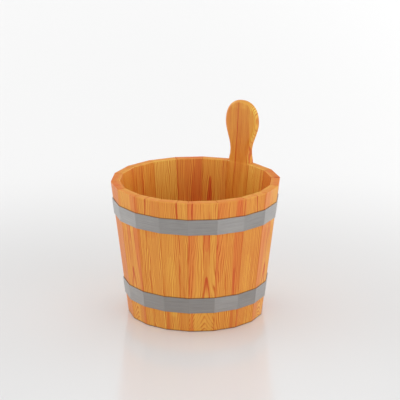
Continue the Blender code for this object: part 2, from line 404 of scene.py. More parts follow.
def arched_board(redness, middle, streaks):
    """A board sawn through the heart: arches and a flame low down, and a red band between lines above."""
    foot = Streak(middle - 1.5, 9.0, -40.0, 36.0, -0.05, -0.1, 5.0)
    quiet = Streak(middle, 4.8, 30.0, 330.0, 0.25, 0.04, 2.5, calm=0.75)
    heart = Streak(middle, 5.8, 124.0, 178.0, 0.02, 0.27, 1.5)
    left_line = Streak(middle - 4.0, 0.75, 94.0, 190.0, 0.6, 0.2)
    right_line = Streak(middle + 3.8, 0.75, 102.0, 190.0, 0.5, 0.2)
    flame = Flame(middle, 88.0, 34.0, 6.6, 0.5, 0.42, edge=1.4)
    return Board(redness, middle - 1.5, 5.2, ring_width=3.1, ring_share=1.08, false_share=0.25,
                 bow=-6.5, bow_middle=130.0, flames=(flame,),
                 streaks=(quiet, heart, foot, left_line, right_line, *streaks))


# Painted highlight: the paler top of the staves at the front of the tub
FRONT_RIM_HIGHLIGHT = Streak(0.0, 90.0, 198.0, 330.0, -0.45)

BOARDS = {
    "handle_stave": Board(redness=0.53, pith_across=48.0, pith_depth=6.0, ring_width=2.0, ring_share=1.4,
                          false_share=0.2, bow=0.0, polish=0.12, streaks=(
        Streak(5.8, 0.85, 140.0, 320.0, 0.5, 0.3, lean=-2.0),
        Streak(-22.0, 6.0, 225.0, 340.0, -0.08, -0.15, 8.0),
        # Painted shade: the handle darker on its neck just above the rim
        Streak(0.0, 90.0, 199.0, 284.0, 0.17, 0.0, 12.0),
        Streak(0.0, 60.0, -80.0, 200.0, 0.13, 0.0, 4.0),
        Streak(-15.0, 9.0, -80.0, 215.0, 0.02, -0.1, 8.0),
        Streak(-14.0, 10.0, 225.0, 330.0, -0.06, -0.06, 10.0),
        # Painted highlight: a pale band along the grip's left edge, standing in for its sheen
        Streak(26.0, 9.0, 200.0, 340.0, -0.55, 0.28, 8.0),
        Streak(-7.0, 8.0, 185.0, 285.0, 0.16, 0.0, 8.0),
    )),
    "stave_01": Board(redness=0.28, pith_across=60.0, ring_share=1.5, streaks=(
        Streak(-13.0, 0.75, 145.0, 198.0, 0.6, 0.15),
        Streak(-20.0, 3.0, -80.0, 300.0, 0.08, 0.35, 3.0),
        Streak(0.0, 30.0, -80.0, 320.0, 0.04),
    )),
    "stave_02": Board(redness=0.62, pith_across=-50.0, ring_share=1.8, streaks=(
        Streak(-15.0, 2.0, -80.0, 300.0, 0.1, 0.2, 2.0),
        Streak(0.0, 30.0, -80.0, 320.0, 0.2),
    )),
    "stave_03": Board(redness=0.64, pith_across=35.0, streaks=(
        # Painted shade: a dark red line along the rim at the joint with stave_02, standing in for the
        # shaded side of a step between their ends
        Streak(19.3, 2.6, 170.0, 330.0, 1.6, 1.0),
    )),
    "stave_04": arched_board(0.46, 6.0, (
        Streak(-13.0, 9.0, -60.0, 300.0, 0.0, 0.3, 8.0),
        Streak(4.0, 40.0, 140.0, 340.0, -0.12, -0.04, 8.0),
    )),
    "stave_05": Board(redness=0.43, pith_across=55.0, ring_share=1.5, streaks=(
        Streak(7.3, 0.8, 112.0, 170.0, 0.1, 0.25, 1.5),
        Streak(5.5, 1.2, 60.0, 115.0, 0.05, 0.2, 2.0),
        Streak(7.9, 1.0, 155.0, 245.0, 1.0, 0.4, lean=-11.0),
        Streak(-22.0, 2.5, -60.0, 300.0, 0.05, 0.3, 3.0),
        Streak(21.0, 3.0, -60.0, 300.0, 0.0, 0.2, 4.0),
        Streak(-16.0, 2.5, -40.0, 45.0, 0.04, 0.25, 3.0),
        Streak(8.0, 9.0, -40.0, 45.0, -0.05, -0.12, 6.0),
        Streak(4.0, 0.8, -40.0, 40.0, 0.2, 0.2),
        Streak(-4.0, 30.0, 130.0, 330.0, -0.05, 0.0, 8.0),
        FRONT_RIM_HIGHLIGHT,
        Streak(-5.0, 9.0, 30.0, 115.0, -0.05, -0.12, 8.0),
    )),
    "stave_06": Board(redness=0.52, pith_across=-26.0, pith_depth=22.0, ring_width=2.0, ring_share=1.05,
                      eye_across=-14.5, eye_along=105.0, eye_height=1.4, streaks=(
        Streak(14.0, 6.5, 50.0, 215.0, 0.03, 0.3, 4.0),
        Streak(10.0, 2.3, -60.0, 98.0, 0.12, 0.25, 2.0),
        Streak(-18.0, 0.8, 112.0, 175.0, 0.15, 0.2),
        Streak(-4.0, 0.65, 128.0, 180.0, 0.6, 0.15),
        Streak(-2.5, 0.75, 62.0, 98.0, 0.6, 0.2),
        Streak(-20.0, 5.0, 20.0, 110.0, 0.03, 0.15, 4.0),
        Streak(-4.0, 24.0, 130.0, 330.0, -0.1, 0.0, 10.0),
        FRONT_RIM_HIGHLIGHT,
        Streak(-20.5, 0.65, 150.0, 260.0, 0.35),
        Streak(-13.0, 9.0, 75.0, 230.0, 0.0, 0.2, 6.0),
        Streak(14.0, 8.0, 165.0, 330.0, -0.06, 0.14, 6.0),
    )),
    "stave_07": arched_board(0.51, 6.3, (
        Streak(-22.0, 12.0, 30.0, 300.0, 0.03, 0.34, 9.0),
        Streak(-13.0, 1.0, 80.0, 108.0, 0.3, 0.15),
        Streak(-15.0, 1.0, 160.0, 260.0, 1.0, 0.4),
        Streak(4.0, 6.0, 165.0, 260.0, 0.0, -0.08, 5.0),
        Streak(-14.5, 2.6, -40.0, 42.0, 0.1, 0.4, 2.0),
        Streak(0.0, 30.0, 130.0, 330.0, -0.05, 0.0, 8.0),
        FRONT_RIM_HIGHLIGHT,
    )),
    "stave_08": Board(redness=0.5, pith_across=55.0, ring_width=2.2, streaks=(
        Streak(7.2, 0.85, 118.0, 170.0, 0.6, 0.25),
        Streak(5.6, 0.95, 50.0, 116.0, 0.6, 0.2, lean=1.5),
        Streak(12.0, 0.75, 36.0, 72.0, 0.6, 0.1),
        Streak(-20.5, 0.75, 60.0, 150.0, 0.5, 0.1),
        Streak(5.2, 1.1, 155.0, 245.0, 1.0, 0.4),
        Streak(-6.0, 10.0, 20.0, 118.0, -0.04, -0.12, 8.0),
        Streak(10.5, 0.5, 160.0, 250.0, -0.4, -0.1),
        Streak(13.5, 0.5, 160.0, 240.0, -0.4, -0.1, lean=3.0),
        Streak(17.5, 0.5, 160.0, 250.0, -0.4, -0.1, lean=-3.0),
        Streak(-14.0, 3.0, -40.0, 42.0, 0.05, 0.25, 3.0),
        Streak(0.0, 6.0, -40.0, 42.0, -0.05, -0.1, 4.0),
        Streak(5.5, 1.2, -40.0, 38.0, 0.12, 0.25),
        FRONT_RIM_HIGHLIGHT,
    )),
    "stave_09": Board(redness=0.43, pith_across=-45.0, streaks=(
        Streak(-21.0, 3.0, 50.0, 300.0, 0.0, 0.22, 3.0),
        Streak(-17.0, 1.0, 90.0, 200.0, 0.1, 0.25, 1.5),
        Streak(-4.5, 0.95, 120.0, 175.0, 0.55, 0.25),
        Streak(-1.5, 0.95, 82.0, 132.0, 0.55, 0.25),
        Streak(-3.0, 1.05, 36.0, 92.0, 0.6, 0.3),
        Streak(-11.5, 0.65, 40.0, 150.0, 0.5, 0.1),
        Streak(-8.0, 0.65, 60.0, 140.0, 0.4, 0.1),
        Streak(-6.6, 1.1, 155.0, 245.0, 1.0, 0.4, lean=9.6),
        Streak(-8.0, 2.5, -40.0, 44.0, -0.06, -0.1, 2.0),
        Streak(-2.5, 0.8, -40.0, 44.0, 0.3, 0.2),
        Streak(16.2, 0.9, -40.0, 44.0, -0.35, -0.15),
        Streak(2.0, 30.0, 140.0, 330.0, 0.02, 0.08, 8.0),
        FRONT_RIM_HIGHLIGHT,
    )),
    "stave_10": arched_board(0.5, -2.7, (
        Streak(17.0, 7.0, 50.0, 300.0, 0.02, 0.28, 6.0),
        Streak(15.0, 3.5, -40.0, 60.0, 0.03, 0.25, 3.0),
        Streak(-4.0, 40.0, 140.0, 340.0, -0.12, -0.04, 8.0),
        Streak(-20.0, 4.0, 120.0, 300.0, 0.0, 0.15, 4.0),
    )),
    "stave_11": Board(redness=0.7, pith_across=40.0),
    "stave_12": Board(redness=0.62, pith_across=-30.0),
    "stave_13": Board(redness=0.48, pith_across=-50.0, ring_share=1.5, streaks=(
        Streak(-11.0, 3.2, -80.0, 300.0, 0.08, 0.28, 2.5),
    )),
    "stave_14": Board(redness=0.46, pith_across=50.0, ring_share=1.5, streaks=(
        Streak(6.0, 0.75, 145.0, 200.0, 0.7, 0.2),
        Streak(7.0, 3.0, 100.0, 260.0, 0.0, 0.12, 3.0),
    )),
    "stave_15": Board(redness=0.27, pith_across=60.0, ring_width=2.7, ring_share=1.6, streaks=(
        Streak(-20.5, 2.5, -80.0, 300.0, 0.05, 0.4, 2.0),
        Streak(0.0, 30.0, -80.0, 320.0, -0.08),
    )),
    "stave_16": Board(redness=0.68, pith_across=-60.0, streaks=(
        Streak(-6.0, 3.5, -80.0, 190.0, 0.12, 0.25, 2.5),
        Streak(-13.0, 4.0, -80.0, 320.0, 0.06, 0.15, 2.0),
        Streak(19.0, 0.85, -80.0, 300.0, 0.5, 0.2),
        Streak(9.0, 0.8, 60.0, 260.0, -0.15, -0.15),
    )),
    "stave_17": Board(redness=0.43, pith_across=70.0, streaks=(
        Streak(6.5, 4.0, 20.0, 176.0, 0.35, 0.6, 0.8),
        Streak(-14.0, 1.2, 165.0, 240.0, 0.15, 0.35, 2.0),
        Streak(0.0, 0.75, 60.0, 230.0, 0.5),
    )),
}
DOWEL_WOOD = Board(redness=0.2, pith_across=30.0, ring_width=1.4, painted_shade_share=0.0)


def bottom_wood(number):
    """How a bottom board was cut: its pith lies to one side and to the other in turn."""
    pith_across = 20.0 if number % 2 == 0 else -20.0
    return Board(redness=0.3, pith_across=pith_across, pith_depth=30.0, painted_shade_share=0.0)


# Shared patterns of the grain
def flow_group():
    """Bends a place in the board along its grain, which wanders slowly and ripples as it goes."""
    inputs = {"Place": "Vector", "Seed": "Vector"}
    graph, given, result = new_group("grain_flow", inputs, {"Bent": "Vector"})
    place, seed = given["Place"], given["Seed"]
    wander = graph.swing(graph.noise(graph.stretch(place, WANDER_CELL, seed)), WANDER_REACH)
    ripple = graph.swing(graph.noise(graph.stretch(place, RIPPLE_CELL, seed), detail=1.0), RIPPLE_REACH)
    shift = graph.join(X=graph.math("ADD", wander, ripple))
    graph.feed(result["Bent"], graph.vector_math("ADD", place, shift))
    return graph.tree


def add_effects(graph, body, given, result, effects):
    """Give what was there of each effect, and the mark's own strength of it where the mark lies."""
    for effect in effects:
        strength = given[effect.lower()]
        graph.feed(result[effect], graph.math("MULTIPLY_ADD", body, strength, given[effect]))


def streak_group():
    """How much darker, redder and calmer one streak makes the wood at a bent place."""
    effects = {"Dark": "Float", "Red": "Float", "Calm": "Float"}
    inputs = {"Bent": "Vector", **effects, **{field.name: "Float" for field in fields(Streak)}}
    graph, given, result = new_group("grain_streak", inputs, effects)
    bent = graph.split(given["Bent"])
    from_low = graph.math("SUBTRACT", bent["Z"], given["low"])
    from_high = graph.math("SUBTRACT", given["high"], bent["Z"])
    inside = graph.span(graph.math("MINIMUM", from_low, from_high), 0.0, STREAK_POINT, smooth=False)
    width = graph.math("MULTIPLY", graph.math("SQRT", inside), given["half_width"])
    slant = graph.math("MULTIPLY", graph.math("DIVIDE", from_low, LEAN_RUN), given["lean"])
    middle = graph.math("ADD", given["across"], slant)
    from_middle = graph.math("ABSOLUTE", graph.math("SUBTRACT", bent["X"], middle))
    past = graph.math("SUBTRACT", from_middle, width)
    inner_edge = graph.math("MULTIPLY", given["soft"], -0.5)
    outer_edge = graph.math("MULTIPLY", given["soft"], 0.5)
    body = graph.span(past, inner_edge, outer_edge, 1.0, 0.0)
    body = graph.math("MULTIPLY", body, graph.span(inside, 0.0, STREAK_TIP_FADE))
    add_effects(graph, body, given, result, effects)
    return graph.tree


def flame_group():
    """How much darker and redder one flame makes the wood at a bent place."""
    effects = {"Dark": "Float", "Red": "Float"}
    inputs = {"Bent": "Vector", **effects, **{field.name: "Float" for field in fields(Flame)}}
    graph, given, result = new_group("grain_flame", inputs, effects)
    bent = graph.split(given["Bent"])
    length = graph.math("SUBTRACT", given["tip"], given["foot"])
    run = graph.math("DIVIDE", graph.math("SUBTRACT", given["tip"], bent["Z"]), length)
    opening = graph.math("POWER", graph.math("MAXIMUM", run, 0.0), given["taper"])
    width = graph.math("MULTIPLY", opening, given["half_width"])
    from_middle = graph.math("ABSOLUTE", graph.math("SUBTRACT", bent["X"], given["across"]))
    past = graph.math("SUBTRACT", from_middle, width)
    core = graph.math("MULTIPLY", given["edge"], FLAME_CORE)
    outline = graph.span(graph.math("ABSOLUTE", past), core, given["edge"], 1.0, 0.0)
    filled = graph.span(past, *FLAME_FILL_EDGE, 1.0, 0.0)
    filled = graph.math("MULTIPLY", filled, graph.span(run, *FLAME_FILL_RUN, 1.0, 0.0))
    filled = graph.math("MULTIPLY", filled, given["fill"])
    hollow = graph.span(past, *FLAME_HOLLOW_EDGE, 1.0, 0.0)
    hollow = graph.math("MULTIPLY", hollow, graph.span(run, *FLAME_HOLLOW_RUN, 0.0, FLAME_HOLLOW_SHARE))
    hollow = graph.math("MULTIPLY", hollow, given["fill"])
    body = graph.math("SUBTRACT", graph.math("MAXIMUM", outline, filled), hollow)
    shown = graph.span(run, *FLAME_TIP_FADE)
    shown = graph.math("MULTIPLY", shown, graph.span(run, *FLAME_FOOT_FADE, 1.0, 0.0))
    add_effects(graph, graph.math("MULTIPLY", body, shown), given, result, effects)
    return graph.tree


def eye_swelling(graph, given, across, along):
    """How far the rings are pushed out about the board's eye."""
    sideways = graph.math("DIVIDE", graph.math("SUBTRACT", across, given["eye_across"]), EYE_HALF_WIDTH)
    lengthways = graph.math("DIVIDE", graph.math("SUBTRACT", along, given["eye_along"]), EYE_HALF_LENGTH)
    squares = graph.math("ADD", graph.square(sideways), graph.square(lengthways))
    fall = graph.math("EXPONENT", graph.math("MULTIPLY", squares, -1.0))
    return graph.math("MULTIPLY", fall, given["eye_height"])


def ring_lines(graph, given):
    """Dark lines of the annual rings round the pith, of uneven width, with finer lines where they fade."""
    bent, seed = given["Bent"], given["Seed"]
    across, depth, along = graph.split(bent)
    from_pith = graph.math("SUBTRACT", across, given["pith_across"])
    below_pith = graph.math("SUBTRACT", depth, given["pith_depth"])
    squares = graph.math("ADD", graph.square(from_pith), graph.square(below_pith))
    from_middle = graph.math("DIVIDE", graph.math("SUBTRACT", along, given["bow_middle"]), BOW_RUN)
    rise = graph.math("MULTIPLY", graph.math("POWER", from_middle, BOW_POWER), given["bow"])
    rise = graph.math("ADD", rise, eye_swelling(graph, given, across, along))
    radius = graph.math("ADD", graph.math("SQRT", squares), rise)
    uneven = graph.swing(graph.noise(graph.stretch(bent, RING_CELL, seed), detail=1.0), RING_REACH)
    rings = graph.math("ADD", graph.math("DIVIDE", radius, given["ring_width"]), uneven)
    late = graph.ramp(graph.math("FRACT", rings), RING_PROFILE)
    false_rings = graph.math("FRACT", graph.math("MULTIPLY", rings, FALSE_RINGS_PER_RING))
    false_late = graph.ramp(false_rings, RING_PROFILE)
    strength = graph.noise(graph.stretch(bent, STRENGTH_CELL, seed), detail=1.0)
    strength = graph.span(strength, *STRENGTH_SPAN)
    ring_shown = graph.math("MULTIPLY_ADD", strength, RING_GAIN, WEAK_RING)
    false_shown = graph.math("MULTIPLY_ADD", strength, FALSE_RING_GAIN, WEAK_FALSE_RING)
    late = graph.math("MULTIPLY", late, ring_shown)
    false_late = graph.math("MULTIPLY", false_late, false_shown)
    return graph.math("MULTIPLY_ADD", false_late, given["false_share"], late)


def foot_and_inside_shading(graph, depth, along):
    """Painted shade: how much darker the wood is up from the foot, and on its inner face inside the tub."""
    foot = graph.span(along, 0.0, FOOT_SHADE_REACH, FOOT_SHADE, 0.0, smooth=False)
    return graph.math("ADD", foot, graph.span(depth, *INSIDE_DEPTHS, 0.0, INSIDE_SHADE))


def contact_shading(graph, depth, along):
    """Painted contact shade on the outside of the wood: along the foot, faintly up from it, and over the
    hoops' tops.
    """
    outside = graph.span(depth, *CONTACT_SHADE_DEPTHS, 1.0, 0.0)
    contact_shade = 0.0
    for height, reach, share in CONTACT_SHADE_LINES:
        away = graph.math("ABSOLUTE", graph.math("SUBTRACT", along, height))
        contact_shade = graph.math("MULTIPLY_ADD", graph.span(away, 0.0, reach, share, 0.0), outside, contact_shade)
    return contact_shade


def grain_group():
    """Colour, roughness and height of the wood at a bent place: x across, y into the wood, z along."""
    inputs = {"Bent": "Vector", "Seed": "Vector", "Dark": "Float", "Red": "Float"}
    inputs.update({field.name: "Float" for field in fields(Board) if field.type is float})
    outputs = {"Color": "Color", "Roughness": "Float", "Height": "Float"}
    graph, given, result = new_group("softwood_grain", inputs, outputs)
    bent, seed = given["Bent"], given["Seed"]
    place = graph.split(bent)
    depth, along = place["Y"], place["Z"]
    late = ring_lines(graph, given)
    bands = graph.noise(graph.stretch(bent, BAND_CELL, seed))
    fibres = graph.noise(graph.stretch(bent, FIBRE_CELL, seed))
    strokes = graph.noise(graph.stretch(bent, STROKE_CELL, seed), detail=1.0)
    # Painted shade: darker and yellower up from the foot and on the inner face
    foot_and_inside_shade = graph.math("MULTIPLY", foot_and_inside_shading(graph, depth, along), given["painted_shade_share"])

    redness = graph.math("ADD", given["redness"], given["Red"])
    redness = graph.math("ADD", redness, graph.swing(bands, BAND_REACH))
    redness = graph.math("MULTIPLY_ADD", foot_and_inside_shade, SHADE_YELLOW, redness)
    inside = graph.span(depth, *INSIDE_DEPTHS, 0.0, INSIDE_YELLOW)
    redness = graph.math("MULTIPLY_ADD", inside, given["painted_shade_share"], redness)

    darkness = graph.math("ADD", graph.math("ADD", given["Dark"], FIBRE_LEVEL), foot_and_inside_shade)
    darkness = graph.math("MULTIPLY_ADD", late, given["ring_share"], darkness)
    darkness = graph.math("ADD", darkness, graph.swing(fibres, FIBRE_REACH))
    darkness = graph.math("ADD", darkness, graph.swing(strokes, STROKE_REACH), clamp=True)

    fibre_tint = graph.mix(darkness, PALE_FIBRE, DARK_FIBRE)
    colour = graph.mix(1.0, graph.ramp(redness, WOOD_HUES), fibre_tint, "MULTIPLY")
    # Painted contact shade: darker along the foot and over the hoops' tops
    contact_shade = graph.math("MULTIPLY", contact_shading(graph, depth, along), given["painted_shade_share"])
    graph.feed(result["Color"], graph.mix(contact_shade, colour, CONTACT_SHADE_COLOUR))
    roughness = graph.span(fibres, *FIBRE_SPAN, *WOOD_ROUGHNESS, smooth=False)
    graph.feed(result["Roughness"], graph.math("SUBTRACT", roughness, given["polish"]))
    stroke_height = graph.math("MULTIPLY", strokes, STROKE_RELIEF)
    graph.feed(result["Height"], graph.math("MULTIPLY_ADD", late, RING_RELIEF, stroke_height))
    return graph.tree


GRAIN_FLOW = flow_group()
GRAIN_STREAK = streak_group()
GRAIN_FLAME = flame_group()
SOFTWOOD_GRAIN = grain_group()


# Wood of one board
def board_place(graph, board_frame):
    """The place on a board in its own frame, in millimetres."""
    to_board = board_frame.inverted()
    mapping = graph.node("ShaderNodeMapping", vector_type="POINT")
    graph.feed(mapping.inputs["Vector"], graph.node("ShaderNodeTexCoord").outputs["Object"])
    mapping.inputs["Scale"].default_value = (MILLIMETRES, MILLIMETRES, MILLIMETRES)
    mapping.inputs["Rotation"].default_value = to_board.to_euler("XYZ")
    mapping.inputs["Location"].default_value = to_board.translation * MILLIMETRES
    return mapping.outputs["Vector"]


def board_marks(graph, bent, board):
    """How much darker, redder and calmer the board's streaks and flames make the wood."""
    dark, red, calm = 0.0, 0.0, 0.0
    for streak in board.streaks:
        mark = asdict(streak)
        dark, red, calm = graph.group(GRAIN_STREAK, Bent=bent, Dark=dark, Red=red, Calm=calm, **mark)
    for flame in board.flames:
        dark, red = graph.group(GRAIN_FLAME, Bent=bent, Dark=dark, Red=red, **asdict(flame))
    return dark, red, calm


def cut_faces(graph, board_frame):
    """How far a surface is end grain, side grain, or an edge between an upper end and a face, which gets a
    painted highlight.
    """
    across, inward, along = (board_frame.col[axis].to_3d() for axis in range(3))
    normal = graph.node("ShaderNodeTexCoord").outputs["Normal"]
    end_grain = graph.facing(normal, along)
    side_grain = graph.span(graph.facing(normal, across), *SIDE_GRAIN_TURN)
    upward = graph.vector_math("DOT_PRODUCT", normal, tuple(along))
    upward = graph.square(graph.math("MAXIMUM", upward, 0.0))
    edge = graph.math("MULTIPLY", upward, graph.facing(normal, inward))
    return end_grain, side_grain, graph.math("MULTIPLY", edge, EDGE_HIGHLIGHT_GAIN)


def cut_shades(graph, board, cuts, dark, red):
    """Darkness and redness of the marks, with what the cut of the surface adds to them."""
    end_grain, side_grain, edge_highlight = cuts
    marks_left = graph.math("MULTIPLY_ADD", end_grain, END_GRAIN_STREAKS - 1.0, 1.0)
    dark = graph.math("MULTIPLY", dark, marks_left)
    dark = graph.math("MULTIPLY_ADD", end_grain, END_GRAIN_DARK, dark)
    # Painted highlight: paler on edges between an upper end and a face
    dark = graph.math("MULTIPLY_ADD", edge_highlight, EDGE_HIGHLIGHT_DARK, dark)
    dark = graph.math("MULTIPLY_ADD", side_grain, SIDE_GRAIN_DARK, dark)
    end_red = END_GRAIN_RED + END_GRAIN_EVENNESS * max(0.0, USUAL_REDNESS - board.redness)
    red = graph.math("MULTIPLY", red, marks_left)
    red = graph.math("MULTIPLY_ADD", end_grain, end_red, red)
    red = graph.math("MULTIPLY_ADD", side_grain, SIDE_GRAIN_RED, red)
    return dark, red


def shown_rings(graph, board, cuts, calm):
    """How much the rings' lines show: less on end grain and in calm bands, more on side grain."""
    end_grain, side_grain = cuts[:2]
    end_change = board.ring_share * (END_GRAIN_LINES - 1.0)
    side_change = board.ring_share * (SIDE_GRAIN_LINES - 1.0)
    share = graph.math("MULTIPLY_ADD", end_grain, end_change, board.ring_share)
    share = graph.math("MULTIPLY_ADD", side_grain, side_change, share)
    return graph.math("MULTIPLY", share, graph.math("SUBTRACT", 1.0, calm, clamp=True))


def seam_shade(graph, place, foot_half_width, widening):
    """How much darker a stave is along the seams with its neighbours: painted shade of the gaps between
    them.
    """
    across, depth, along = graph.split(place)
    half_width = graph.math("MULTIPLY_ADD", along, widening, foot_half_width)
    half_width = graph.math("MULTIPLY_ADD", depth, -math.tan(STAVE_MITRE), half_width)
    inside = graph.math("SUBTRACT", half_width, graph.math("ABSOLUTE", across))
    below_rim = graph.span(along, SEAM_TOP, SEAM_TOP + SEAM_TOP_FADE, SEAM_DARK, 0.0)
    return graph.math("MULTIPLY", graph.span(inside, 0.0, SEAM_REACH, 1.0, 0.0), below_rim)


def wood_material(name, board_frame, board, number, seams=None):
    """One board's wood: the shared grain, laid along that board and cut as the board says."""
    material, graph, shader = new_material(name)
    shader.inputs["Specular IOR Level"].default_value = WOOD_SPECULAR
    place = board_place(graph, board_frame)
    seed = (SEED_STEP * number, -SEED_STEP * number, SEED_STEP * number)
    bent = graph.group(GRAIN_FLOW, Place=place, Seed=seed)["Bent"]
    dark, red, calm = board_marks(graph, bent, board)
    cuts = cut_faces(graph, board_frame)
    dark, red = cut_shades(graph, board, cuts, dark, red)
    # Painted shade along the seams
    if seams:
        dark = graph.math("ADD", dark, seam_shade(graph, place, *seams))
    values = {field.name: getattr(board, field.name) for field in fields(Board) if field.type is float}
    values["ring_share"] = shown_rings(graph, board, cuts, calm)
    wood = graph.group(SOFTWOOD_GRAIN, Bent=bent, Seed=seed, Dark=dark, Red=red, **values)
    graph.feed(shader.inputs["Base Color"], wood["Color"])
    end_grain, side_grain = cuts[:2]
    roughness = graph.math("MULTIPLY_ADD", end_grain, END_GRAIN_ROUGH, wood["Roughness"])
    roughness = graph.math("MULTIPLY_ADD", side_grain, SIDE_GRAIN_ROUGH, roughness)
    graph.feed(shader.inputs["Roughness"], roughness)
    bump = graph.bump(wood["Height"], WOOD_BUMP_STRENGTH, WOOD_BUMP_DISTANCE)
    graph.feed(shader.inputs["Normal"], bump)
    return material


# Steel: the brushing's cells are measured round the tub and up it, and the blotches' along the frame's axes
UPPER_HOOP_TINT = (0.36, 0.348, 0.338)
# Painted shade: the lower hoop's tint is darker than the upper hoop's, though both are the same steel
LOWER_HOOP_SHADED_TINT = (0.335, 0.325, 0.315)
RIVET_TINT = (0.42, 0.415, 0.41)
HOOP_ROUGHNESS = 0.42
RIVET_ROUGHNESS = 0.36
HOOP_RADIUS = 115.0
STEEL_ANISOTROPY = 0.8
STEEL_BRUSH_TURN = 0.25
STEEL_NOISE_SPAN = (0.25, 0.75)
BRUSH_CELL = (40.0, 1.0, 0.8)
BRUSH_DETAIL = 4.0
BRUSH_FINENESS = 0.65
BRUSH_SHADES = (0.8, 1.18)
BRUSH_ROUGHENING = 0.12
BRUSH_BUMP_STRENGTH = 0.12
BRUSH_BUMP_DISTANCE = 0.0001
BLOTCH_CELL = (16.0, 16.0, 9.0)
BLOTCH_DETAIL = 4.0
BLOTCH_FINENESS = 0.6
BLOTCH_SHADES = (0.95, 1.05)
BLOTCH_ROUGHENING = 0.1


def steel_material(name, tint, roughness):
    """Brushed steel strip: fine scratches run round the tub, over faint blotches."""
    material, graph, shader = new_material(name)
    shader.inputs["Metallic"].default_value = 1.0
    shader.inputs["Anisotropic"].default_value = STEEL_ANISOTROPY
    shader.inputs["Anisotropic Rotation"].default_value = STEEL_BRUSH_TURN
    tangent = graph.node("ShaderNodeTangent", direction_type="RADIAL", axis="Z")
    graph.feed(shader.inputs["Tangent"], tangent.outputs["Tangent"])
    place = graph.node("ShaderNodeTexCoord").outputs["Object"]
    place = graph.vector_math("MULTIPLY", place, (MILLIMETRES, MILLIMETRES, MILLIMETRES))
    x, y, z = graph.split(place)
    strip = graph.join(X=graph.math("MULTIPLY", graph.math("ARCTAN2", y, x), HOOP_RADIUS), Z=z)
    brush = graph.noise(graph.stretch(strip, BRUSH_CELL), BRUSH_DETAIL, BRUSH_FINENESS)
    blotch = graph.noise(graph.stretch(place, BLOTCH_CELL), BLOTCH_DETAIL, BLOTCH_FINENESS)
    brush_shade = graph.span(brush, *STEEL_NOISE_SPAN, *BRUSH_SHADES, smooth=False)
    blotch_shade = graph.span(blotch, *STEEL_NOISE_SPAN, *BLOTCH_SHADES, smooth=False)
    colour = graph.mix(1.0, (*tint, 1.0), brush_shade, "MULTIPLY")
    graph.feed(shader.inputs["Base Color"], graph.mix(1.0, colour, blotch_shade, "MULTIPLY"))
    uneven = graph.math("ADD", graph.swing(brush, BRUSH_ROUGHENING), graph.swing(blotch, BLOTCH_ROUGHENING))
    graph.feed(shader.inputs["Roughness"], graph.math("ADD", uneven, roughness))
    graph.feed(shader.inputs["Normal"], graph.bump(brush, BRUSH_BUMP_STRENGTH, BRUSH_BUMP_DISTANCE))
    return material


# Pieces
def flat_faced(node_name):
    """The node's solid with the triangles of each flat face joined again."""
    shape = bmesh.new()
    shape.from_mesh(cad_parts[node_name].data)
    bmesh.ops.remove_doubles(shape, verts=shape.verts, dist=MERGE_DISTANCE)
    bmesh.ops.dissolve_limit(shape, angle_limit=FLAT_ANGLE, verts=shape.verts, edges=shape.edges)
    return shape


def ease_weights(shape, width_of):
    """Weight each sharp edge by how far it is eased; returns the widest easing."""
    layer = shape.edges.layers.float.new("bevel_weight_edge")
    widths = {}
    for edge in shape.edges:
        if edge.calc_face_angle(0.0) > SHARP_ANGLE:
            widths[edge] = width_of(edge)
    widest = max(widths.values())
    for edge, width in widths.items():
        edge[layer] = width / widest
    return widest


def even_ease(shape, width):
    """Ease all sharp edges by the same width, apart from the shortest; returns the width."""
    return ease_weights(shape, lambda edge: width if edge.calc_length() > SHORTEST_EASED_EDGE else 0.0)


def add_piece(node_name, shape, ease, material, segments=EASE_SEGMENTS):
    """A piece in place of its node, with eased edges and flat faces that stay flat."""
    mesh = bpy.data.meshes.new(f"{node_name}_dressed")
    shape.to_mesh(mesh)
    shape.free()
    mesh.shade_smooth()
    mesh.materials.append(material)
    piece = bpy.data.objects.new(f"{node_name}_dressed", mesh)
    bpy.context.scene.collection.objects.link(piece)
    bevel = piece.modifiers.new("eased edges", "BEVEL")
    bevel.limit_method = "WEIGHT"
    bevel.width = ease
    bevel.segments = segments
    bevel.use_clamp_overlap = False
    bevel.miter_outer = "MITER_ARC"
    piece.modifiers.new("flat faces", "WEIGHTED_NORMAL")
    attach(piece, "root")
    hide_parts(node_name)


def finish_node(node_name, material):
    """A material for a node that keeps its solid's shape."""
    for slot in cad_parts[node_name].material_slots:
        slot.material = material


def is_level(edge):
    """Whether an edge of a stave runs along its end, and not up its side."""
    along = (edge.verts[1].co - edge.verts[0].co).normalized()
    return abs(along.z) < LEVEL_EDGE


def stave_frame(shape):
    """Frame of a stave's outer face at the middle of its foot: x across, y into the wood, z along it."""
    middle = sum((vertex.co for vertex in shape.verts), Vector()) / len(shape.verts)
    outward = Vector((middle.x, middle.y, 0.0)).normalized()
    facing = [face for face in shape.faces if face.normal.dot(outward) > OUTER_FACING]
    outer = max(facing, key=lambda face: face.calc_area())
    normal = outer.normal
    along = (UP - normal * normal.z).normalized()
    across = along.cross(normal)
    corners = sorted((vertex.co for vertex in outer.verts), key=lambda place: place.z)
    matrix = Matrix((across, -normal, along)).transposed().to_4x4()
    matrix.translation = (corners[0] + corners[1]) / 2.0
    return matrix


def stave_sides():
    """Half the width of a stave's outer face at its foot, in millimetres, and how it widens along it."""
    shape = flat_faced("stave_01")
    to_board = stave_frame(shape).inverted()
    corners = [to_board @ vertex.co * MILLIMETRES for vertex in shape.verts]
    shape.free()
    foot = max(corner.x for corner in corners if corner.z < SEAM_TOP / 2.0)
    rim = max(corner.x for corner in corners)
    top = max(corner.z for corner in corners)
    return foot, (rim - foot) / top


